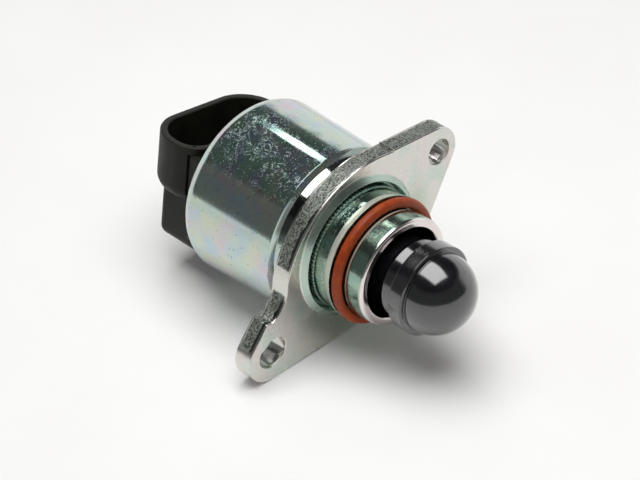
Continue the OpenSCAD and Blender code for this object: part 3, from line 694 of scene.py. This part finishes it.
def make_can():
    """A drawn can with a stepped shoulder behind the plate and a rolled rear rim."""
    shell = Shell()
    rim_inside = CAN_BACK_X + CAN_WALL
    front_inside = CAN_FRONT_X - CAN_WALL
    shell.lathe(softened([
        (CAN_FRONT_X, CAN_HOLE_R, 0.12), (CAN_FRONT_X, FLAT_R, 0.15), (STEP_X, STEP_R, 0.15),
        (WALL_X, CAN_FRONT_R, 0.3), (CAN_BACK_X + 1.5, CAN_R - 0.04, 2.4),
        (CAN_BACK_X, CAN_R - 0.75, 0.7), (CAN_BACK_X, RIM_HOLE_R, 0.35),
        (rim_inside, RIM_HOLE_R, 0.2), (rim_inside, CAN_R - CAN_WALL, 0.1),
        (INNER_WALL_X, CAN_FRONT_R - CAN_WALL, 1.0), (front_inside, INNER_FLAT_R, 0.5),
        (front_inside, CAN_HOLE_R, 0.1),
    ], 9), around=FINE_AROUND)
    shell.piece("motor_can_shell", "valve_body", "zinc_can", "motor_can")


def tangent_turn(mid_1, r_1, mid_2, r_2, side):
    """Angle of the outer tangent's normal, from circle 1 to circle 2, in degrees."""
    way = mid_2 - mid_1
    return math.degrees(math.atan2(way.y, way.x) + side * math.acos((r_1 - r_2) / way.length))


def plate_outline():
    """The plate's edge in its own plane, anticlockwise from the round ear's lower side."""
    centre = Vector((0, 0))
    up = tangent_turn(CROWN_MID, CROWN_R, ROUND_TIP, ROUND_TIP_R, 1)
    low = tangent_turn(centre, PLATE_R, ROUND_TIP, ROUND_TIP_R, -1)
    slot_low = tangent_turn(centre, PLATE_R, SLOT_TIP, SLOT_TIP_R, 1) + 360
    out = Vector((math.cos(math.radians(up)), math.sin(math.radians(up))))
    way = Vector((-out.y, out.x))
    line = arc(ROUND_TIP, ROUND_TIP_R, low, up)
    nick_at = line[-1] + NICK_FROM_TIP * way
    line += [nick_at - 0.3 * way, nick_at + 0.06 * out, nick_at + 0.08 * way - NICK * out]
    line += arc(CROWN_MID, CROWN_R, up, CROWN_END)
    line += arc(SADDLE, SADDLE_R, SADDLE_START, SADDLE_END) + SADDLE_FOOT
    line += arc(SLOT_TIP, SLOT_TIP_R, SLOT_TIP_START, slot_low)
    line += arc(centre, PLATE_R, slot_low, low + 360)
    return line


def slot_outline():
    """The slot's edge in the plate's plane."""
    end = Vector((SLOT_HALF, 0))
    return (arc(SLOT_HOLE + end, SLOT_HOLE_R, -90, 90)
            + arc(SLOT_HOLE - end, SLOT_HOLE_R, 90, 270))


def offset_line(line, distance):
    """Moves a closed line inwards by distance, outwards if it is negative."""
    moved = []
    for i, here in enumerate(line):
        back = (here - line[i - 1]).normalized()
        ahead = (line[(i + 1) % len(line)] - here).normalized()
        inward = Vector((-back.y - ahead.y, back.x + ahead.x)).normalized()
        lean = max(0.5, inward.dot(Vector((-ahead.y, ahead.x))))
        moved.append(here + inward * distance / lean)
    return moved


def on_plate(line, x):
    """Points of the plate's plane at depth x, turned to where the plate stands."""
    c, s = math.cos(math.radians(PLATE_TURN)), math.sin(math.radians(PLATE_TURN))
    return [(x, p.x * c - p.y * s, p.x * s + p.y * c) for p in line]


def make_plate():
    """The stamped plate: walls of its edge, holes and lip, and faces filled between them."""
    shell = Shell()
    levels = [(FRONT_SOFT * (1 - s), -FRONT_SOFT * (1 - c)) for c, s in quarter_turn(6)]
    levels += [(0.0, -PLATE_T * 0.5)]
    levels += [(BACK_SOFT * (1 - c), -PLATE_T + BACK_SOFT * (1 - s)) for c, s in quarter_turn(4)]
    fronts, backs = [], []

    def walls(rings):
        """Skins rings from the front face to the back face and keeps both borders."""
        loops = shell.stack(rings, lids=False)
        fronts.append(loops[0])
        backs.append(loops[-1])

    round_outline = arc(ROUND_HOLE, ROUND_HOLE_R, 0, 360)[:-1]
    for line, inward in ((plate_outline(), 1), (round_outline, -1), (slot_outline(), -1)):
        walls([on_plate(offset_line(line, inward * d), x) for d, x in levels])
    lip = softened([
        (PLATE_HOLE_R + LIP_W + 0.4, 0.0, 0), (PLATE_HOLE_R + LIP_W, 0.0, 0.18),
        (PLATE_HOLE_R + 0.25, LIP_H, 0.16), (PLATE_HOLE_R, LIP_H - 0.2, 0.06),
        (PLATE_HOLE_R, -PLATE_T, 0)], 4, closed=False)
    walls([about_axis(p.y, p.x, full_turn(AROUND)) for p in lip])
    for borders in (fronts, backs):
        fill = bmesh.new()
        edges = []
        for ring in borders:
            corners = [fill.verts.new(shell.points[i]) for i in ring]
            edges += [fill.edges.new((a, b)) for a, b in zip(corners, corners[1:] + corners[:1])]
        fill.verts.index_update()
        numbers = [i for ring in borders for i in ring]
        bmesh.ops.triangle_fill(fill, use_beauty=True, edges=edges)
        shell.faces += [tuple(numbers[v.index] for v in f.verts) for f in fill.faces]
        fill.free()
    shell.piece("mounting_plate_stamped", "valve_body", "zinc_plate", "mounting_plate")


def make_nose():
    """The turned nose, and the knurl's band of teeth round the base of its barrel."""
    shell = Shell()
    back, front = SEAL_X - SEAL_D / 2 - 0.1, SEAL_X + SEAL_D / 2 + 0.1
    floor_r = SEAL_R - SEAL_D - 0.03
    shell.lathe(softened([
        (WEB_BACK_X, WEB_HOLE_R, 0.1), (WEB_BACK_X, BEARING_R, 0.05), (FOOT_X, BEARING_R, 0.15),
        (FOOT_X, FOOT_R, 0.2), (CAN_FRONT_X, FOOT_R, 0.05), (CAN_FRONT_X, FLANGE_R, 0.1),
        (FLANGE_X, FLANGE_R, 0.2), (FLANGE_X, BARREL_R, 0.1), (back - 1.6, BARREL_R, 0.3),
        (back - 0.06, FLARE_R, 0.05), (back, FLARE_EDGE_R, 0.05), (back, floor_r, 0.2),
        (front, floor_r, 0.15), (front, LAND_R - 0.1, 0.1), (front + 0.5, LAND_R, 0.3),
        (NOSE_LEN, LAND_R, MOUTH_ROUND), (NOSE_LEN, MOUTH_R, 0.1), (MOUTH_X, NOSE_BORE_R, 0.1),
        (WEB_FRONT_X, NOSE_BORE_R, 0.3), (WEB_FRONT_X, WEB_HOLE_R, 0.1),
    ], 6))

    # One tooth as (share of the pitch, rise), and the band's rings as (x, share of the rise,
    # height of the gaps)
    tooth = ((0.0, 1.0), (0.28, 1.0), (0.56, 0.96), (0.68, 0.2), (0.78, 0.0), (0.88, 0.2))
    turns = [(2 * math.pi * (i + share) / KNURL_TEETH, rise)
             for i in range(KNURL_TEETH) for share, rise in tooth]
    rings = []
    for x, share, gap in ((KNURL_BACK_X, 0.0, 0.05), (KNURL_BACK_X, 1.0, 0.05),
                          (0.95, 1.0, 0.05), (1.2, 0.7, 0.05),
                          (KNURL_FRONT_X, 0.0, 0.02), (KNURL_FRONT_X, 0.0, -0.3)):
        radii = [BARREL_R + gap + share * (KNURL_H - gap) * rise for _, rise in turns]
        rings.append([(x, r * math.cos(a), r * math.sin(a)) for r, (a, _) in zip(radii, turns)])
    shell.stack(rings, lids=False)
    shell.piece("nose_turned", "valve_body", "zinc_nose", "nose_collar")


def make_ring_seal():
    """The ring seal, 2.0 mm thick where its solid has 2.2 mm, with the same outer radius."""
    shell = Shell()
    slim = 0.1
    wire = SEAL_D / 2 - slim
    shell.lathe([(SEAL_X + slim + wire * math.sin(a), SEAL_R - wire + wire * math.cos(a))
                 for a in full_turn(40)], around=FINE_AROUND)
    shell.piece("ring_seal_rubber", "valve_body", "orange_rubber", "ring_seal")


def make_pintle():
    """The pintle's skirt, its ring, and its round end."""
    shell = Shell()
    dome = [(p.y, p.x) for p in arc((0, DOME_X), DOME_R, 0, 90, 2.5)]
    dome[-1] = (DOME_X + DOME_R, 0.0)
    body = softened([
        (SCREW_HOLE_X, SCREW_HOLE_R, 0), (SPRING_ROOM_X, SCREW_HOLE_R, 0.2),
        (SPRING_ROOM_X, SPRING_ROOM_R, 0.5), (SKIRT_X, SPRING_ROOM_R, 0.3),
        (SKIRT_X, SKIRT_R, 0.4), (13.7, SKIRT_R - 0.05, 1.0), (14.5, 7.8, 0.4), (17.1, 7.4, 0.1),
        (RING_BACK_X, RING_R - 0.02, 0.25), (RING_FRONT_X, RING_R, 0.12), (DOME_X, 8.66, 0.1),
        (DOME_X, DOME_R, 0.1), dome[1] + (0,),
    ], 5, closed=False)
    shell.lathe([(SCREW_HOLE_X, 0.0)] + [tuple(p) for p in body] + dome[2:], closed=False)
    shell.piece("pintle_moulded", "pintle", "pintle_plastic", "pintle_head")


def make_return_spring():
    """Wound steel wire with a closed turn at each end."""
    lowest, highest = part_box("return_spring")
    low, high, outer = 1000 * lowest[0], 1000 * highest[0], 1000 * highest[2]
    wire = WIRE_D / 2
    near, far = low + wire, high - wire
    steps, closed = 36, 1 / SPRING_TURNS
    shell = Shell()
    rings = []
    for i in range(SPRING_TURNS * steps + 1):
        t = i / (SPRING_TURNS * steps)
        if t < closed:
            x = near + WIRE_D * t / closed
        elif t > 1 - closed:
            x = far - WIRE_D * (1 - t) / closed
        else:
            x = near + WIRE_D + (far - near - 2 * WIRE_D) * (t - closed) / (1 - 2 * closed)
        turn = math.radians(360 * i / steps)
        ring = []
        for a in full_turn(12):
            r = outer - wire + wire * math.cos(a)
            ring.append((x + wire * math.sin(a), r * math.cos(turn), r * math.sin(turn)))
        rings.append(ring)
    shell.stack(rings)
    spring = shell.piece("return_spring_wound", "valve_body", "spring_steel", "return_spring")
    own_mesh(spring)


def socket_line(inset, limit, notch):
    """The socket's outline from above, shrunk by inset and cut to a half width."""
    near_mid = SOCKET_NEAR_X - NEAR_CORNER_R, SOCKET_HALF - NEAR_CORNER_R
    far_mid = SOCKET_FAR_X + FAR_CORNER_R, SOCKET_HALF - FAR_CORNER_R
    near_r, far_r = NEAR_CORNER_R - inset, FAR_CORNER_R - inset
    half = [(near_mid[0] + near_r, y) for y in (1.6, 3.2, 4.8, 6.4)]
    half += [tuple(p) for p in arc(near_mid, near_r, 0, 48, 5)]
    for x, depth in ((3.51, 0), (3.49, NOTCH), (3.11, NOTCH), (3.09, 0)):
        x = min(x, near_r - 0.01)
        y = math.sqrt(near_r * near_r - x * x)
        half.append((near_mid[0] + x, near_mid[1] + y - (depth if notch else 0)))
    half += [tuple(p) for p in arc(near_mid, near_r, 58, 90, 5)]
    half += [tuple(p) for p in arc(far_mid, far_r, 90, 180, 4)]
    half += [(far_mid[0] - far_r, y) for y in (4.5, 3.0, 1.5)]
    half = [(x, min(y, limit)) for x, y in half]
    return half + [(half[-1][0], 0.0)] + [(x, -y) for x, y in half[::-1]] + [(half[0][0], 0.0)]


def block_line(inset, limit):
    """The block's outline from above, shrunk by inset and cut to a half width."""
    near_r, far_r = BLOCK_NEAR_R + inset, BLOCK_FAR_R + inset
    points = arc((BLOCK_NEAR_X - near_r, BLOCK_HALF - near_r), near_r - inset, 0, 90, 15)
    points += arc((BLOCK_FAR_X + far_r, BLOCK_HALF - far_r), far_r - inset, 90, 180, 10)
    half = [(p.x, min(p.y, limit)) for p in points]
    return half + [(x, -y) for x, y in half[::-1]]


def bottom_levels(low, radius, soft, half):
    """Levels (z, inset, half width) that round off the lower long corners."""
    levels = []
    for c, s in quarter_turn(10):
        z = low + radius * (1 - c)
        up = max(0.0, soft - (z - low))
        inset = soft - math.sqrt(max(0.0, soft * soft - up * up)) if z - low < soft else 0.0
        levels.append((z, inset, half - radius + radius * s))
    return levels


def make_cap():
    """The cap in one moulding: socket, keyed block, neck, disc inside the can, and a latch."""
    shell = Shell()
    whole = SOCKET_HALF + 1

    def socket_ring(z, inset, limit=whole, notch=False):
        return [(x, y, z) for x, y in socket_line(inset, limit, notch)]

    rings = [socket_ring(z, inset, limit, True)
             for z, inset, limit in bottom_levels(SKIRT_BOTTOM, 3.0, 3.0, SOCKET_HALF)]
    rings.append(socket_ring(NECK_TOP - 0.02, 0.0, whole, True))
    rings.append(socket_ring(NECK_TOP + 0.03, 0.0))
    rings += [socket_ring(SOCKET_TOP - RIM_SOFT * (1 - s), RIM_SOFT * (1 - c))
              for c, s in quarter_turn(5)]
    rings += [socket_ring(SOCKET_TOP - RIM_SOFT * (1 - c), SOCKET_WALL - RIM_SOFT * (1 - s))
              for c, s in quarter_turn(5)]
    rings += [socket_ring(SOCKET_FLOOR + FLOOR_SOFT * (1 - s), SOCKET_WALL + FLOOR_SOFT * (1 - c))
              for c, s in quarter_turn(5)]
    shell.stack(rings)

    rings = [[(x, y, z) for x, y in block_line(inset, limit)]
             for z, inset, limit in bottom_levels(BLOCK_LOW, 2.4, 2.2, BLOCK_HALF)]
    rings.append([(x, y, SKIRT_BOTTOM + 0.8) for x, y, z in rings[-1]])
    shell.stack(rings)

    low_turn = math.degrees(math.acos(NECK_HALF / NECK_R))
    under = arc((0, 0), NECK_R, 180 + low_turn, 360 - low_turn, 3)
    corners = softened([(NECK_HALF, under[-1].y, 0), (NECK_HALF, NECK_TOP, 0.5),
                        (-NECK_HALF, NECK_TOP, 0.5), (-NECK_HALF, under[0].y, 0)], 5)
    shell.stack([[(x, p.x * share, p.y * share) for p in under + corners[1:-1]]
                 for x, share in ((NECK_FAR_X, 0.992), (-33.4, 1.0), (-29.2, 1.0),
                                  (NECK_NEAR_X, 1.0))])

    middle = (DISC_FRONT_X + DISC_BACK_X) / 2
    groove_back, groove_front = middle - CAP_GROOVE_HALF, middle + CAP_GROOVE_HALF
    shell.lathe([tuple(p) for p in softened([
        (DISC_BACK_X, 0, 0), (DISC_BACK_X, DISC_BACK_R, 0.15), (groove_back, DISC_BACK_R, 0.1),
        (groove_back, CAP_GROOVE_R, 0.1), (groove_front, CAP_GROOVE_R, 0.1),
        (groove_front, DISC_FRONT_R, 0.1), (DISC_FRONT_X, DISC_FRONT_R, 0.2),
        (DISC_FRONT_X, BUSH_SEAT_R, 0.2), (BUSH_SEAT_X, BUSH_SEAT_R, 0.1),
        (BUSH_SEAT_X, JOURNAL_R, 0.05), (JOURNAL_X, JOURNAL_R, 0.05), (JOURNAL_X, 0, 0)],
        4, closed=False)], closed=False)

    # The latch from the side, as (x from the socket's far face, z, rounding)
    latch = softened([(0.4, -2.4, 0), (0.0, -2.4, 0.1), (-1.3, -1.2, 0.25), (-1.3, -0.4, 0.3),
                      (0.0, 4.2, 0.2), (0.4, 4.2, 0)], 4)
    shell.stack([[(SOCKET_FAR_X + 0.2 + p.x * share, y, p.y * share) for p in latch]
                 for y, share in ((-LATCH_HALF, 0.93), (0.15 - LATCH_HALF, 1.0),
                                  (LATCH_HALF - 0.15, 1.0), (LATCH_HALF, 0.93))])
    shell.piece("connector_cap_moulded", "valve_body", "cap_plastic", "connector_cap")


make_can()
make_plate()
make_nose()
make_ring_seal()
make_pintle()
make_return_spring()
make_cap()

for row in frame["record"]["subparts"]:
    node = frame["nodes"][row["node"]]
    if not node.hide_render:
        node.data.materials.clear()
        node.data.materials.append(FINISHES[row["material_slot"]])


# ---- floor, light and camera

# The table's slope in the valve's frame, and the way up from it
FLOOR_LEAN = (0.033, 0.173)
FLOOR_UP = (-0.0325, -0.1704, 0.9848)

# The table in metres: its radius, and where it turns from paper to plain white
FLOOR_R, PAPER_END, WHITE_START = 0.9, 0.12, 0.42

# The way from the table to the white sweep behind it
SWEEP_WAY = (-0.676, 0.737, 0.0)

# The photograph's view: width and focal length in pixels, the eye, and the picture's right
# and up in the valve's frame. The middle of the plate's face is a little right and low in it.
PHOTO_PX, FOCAL_PX, SENSOR = 640, 3367.0, 36.0
EYE = Vector((364.1, -397.1, 320.2))
RIGHT, UP = Vector((0.6966, 0.7113, 0.0909)), Vector((-0.4213, 0.3030, 0.8542))
FACE_RIGHT_PX, FACE_LOW_PX = 36.6, 4.56

WHITE = (1, 1, 1, 1)


def make_floor():
    """A pale table top that the ear and the rear rim of the can rest on."""
    low = min((v.co.z - FLOOR_LEAN[0] * v.co.x - FLOOR_LEAN[1] * v.co.y) / MM
              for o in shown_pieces() for v in o.data.vertices)
    mesh = bpy.data.meshes.new("table_top")
    disc = bmesh.new()
    bmesh.ops.create_circle(disc, cap_ends=True, segments=96, radius=FLOOR_R)
    for v in disc.verts:
        x, y = v.co.x / MM, v.co.y / MM
        v.co.z = (low + FLOOR_LEAN[0] * x + FLOOR_LEAN[1] * y) * MM
    disc.to_mesh(mesh)
    disc.free()
    floor = bpy.data.objects.new("table_top", mesh)
    scene.collection.objects.link(floor)
    floor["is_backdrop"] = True
    dull = {"Roughness": 0.7, "Specular IOR Level": 0.2}
    material, tree, shader, place = finish_of("table_top", dull)
    tone = between(tree, noise(tree, place, 60.0), 0.3, 0.7)
    colour = blend(tree, tone, rgb(245, 244, 243), rgb(248, 248, 247))
    feed(tree, shader.inputs["Base Color"], colour)
    glow = add(tree, "Emission", {"Color": WHITE, "Strength": 1.0}).outputs[0]
    path = add(tree, "LightPath").outputs
    seen = sums(tree, "MAXIMUM", path["Is Camera Ray"], path["Is Glossy Ray"])
    seen = sums(tree, "MAXIMUM", seen, path["Is Transmission Ray"])
    away = add(tree, "VectorMath", {0: place}, operation="LENGTH").outputs["Value"]
    share = times(tree, seen, between(tree, away, PAPER_END, WHITE_START, 0.03, 1.0))
    feed(tree, tree.nodes["Material Output"].inputs["Surface"],
         mixed(tree, share, shader.outputs[0], glow))
    mesh.materials.append(material)


def make_world():
    """White for the camera. Metal sees a white sweep behind the table in a dim room."""
    world = bpy.data.worlds.new("studio")
    scene.world = world
    world.use_nodes = True
    tree = world.node_tree
    tree.nodes.clear()
    way = add(tree, "TexCoord").outputs["Generated"]

    def part_along(direction):
        node = add(tree, "VectorMath", {0: way, 1: direction}, operation="DOT_PRODUCT")
        return node.outputs["Value"]

    def sky(colour, strength):
        return add(tree, "Background", {"Color": colour, "Strength": strength}).outputs[0]

    rise, back = part_along(FLOOR_UP), part_along(SWEEP_WAY)
    room = blend(tree, between(tree, rise, 0.52, 0.6), (0.13, 0.135, 0.13, 1),
                 (0.03, 0.032, 0.033, 1))
    sweep = times(tree, falls(tree, rise, 0.44, 0.5), between(tree, back, -0.05, 0.3))
    seen_by_metal = sky(blend(tree, sweep, room, WHITE), 1.0)
    path = add(tree, "LightPath").outputs
    metal = sums(tree, "MAXIMUM", path["Is Glossy Ray"], path["Is Transmission Ray"])
    fill = mixed(tree, metal, sky(WHITE, 0.2), seen_by_metal)
    feed(tree, add(tree, "OutputWorld").inputs["Surface"],
         mixed(tree, path["Is Camera Ray"], fill, sky(WHITE, 1.0)))


def lamp(name, place, target, width, height, power, spin=0.0):
    """A rectangular lamp at place that faces target, turned by spin degrees; millimetres."""
    light = bpy.data.lights.new(name, "AREA")
    light.shape = "RECTANGLE"
    light.size, light.size_y, light.energy = width * MM, height * MM, power
    obj = bpy.data.objects.new(name, light)
    scene.collection.objects.link(obj)
    obj.location = Vector(place) * MM
    facing = (Vector(place) - Vector(target)).to_track_quat("Z", "Y")
    obj.rotation_euler = (facing @ Quaternion((0, 0, 1), math.radians(spin))).to_euler()


def make_camera():
    """The camera at the eye, turned so that the plate's face stands where the photo has it."""
    way = -EYE.normalized() - RIGHT * (FACE_RIGHT_PX / FOCAL_PX) + UP * (FACE_LOW_PX / FOCAL_PX)
    way.normalize()
    up = (UP - way * UP.dot(way)).normalized()
    right = way.cross(up)
    data = bpy.data.cameras.new("photo_view")
    data.lens, data.sensor_width = FOCAL_PX / PHOTO_PX * SENSOR, SENSOR
    data.clip_start, data.clip_end = 0.01, 10.0
    camera = bpy.data.objects.new("photo_view", data)
    scene.collection.objects.link(camera)
    turned = Matrix((right, up, -way)).transposed().to_4x4()
    camera.matrix_world = Matrix.Translation(EYE * MM) @ turned
    scene.camera = camera


make_floor()
make_world()
lamp("overhead", (-6, -99, 500), (0, 0, 0), 570, 410, 3.0)
lamp("small_lamp", (-126, 53, 171), (-13.4, -4.6, 17), 27, 12, 0.013, 32)
make_camera()
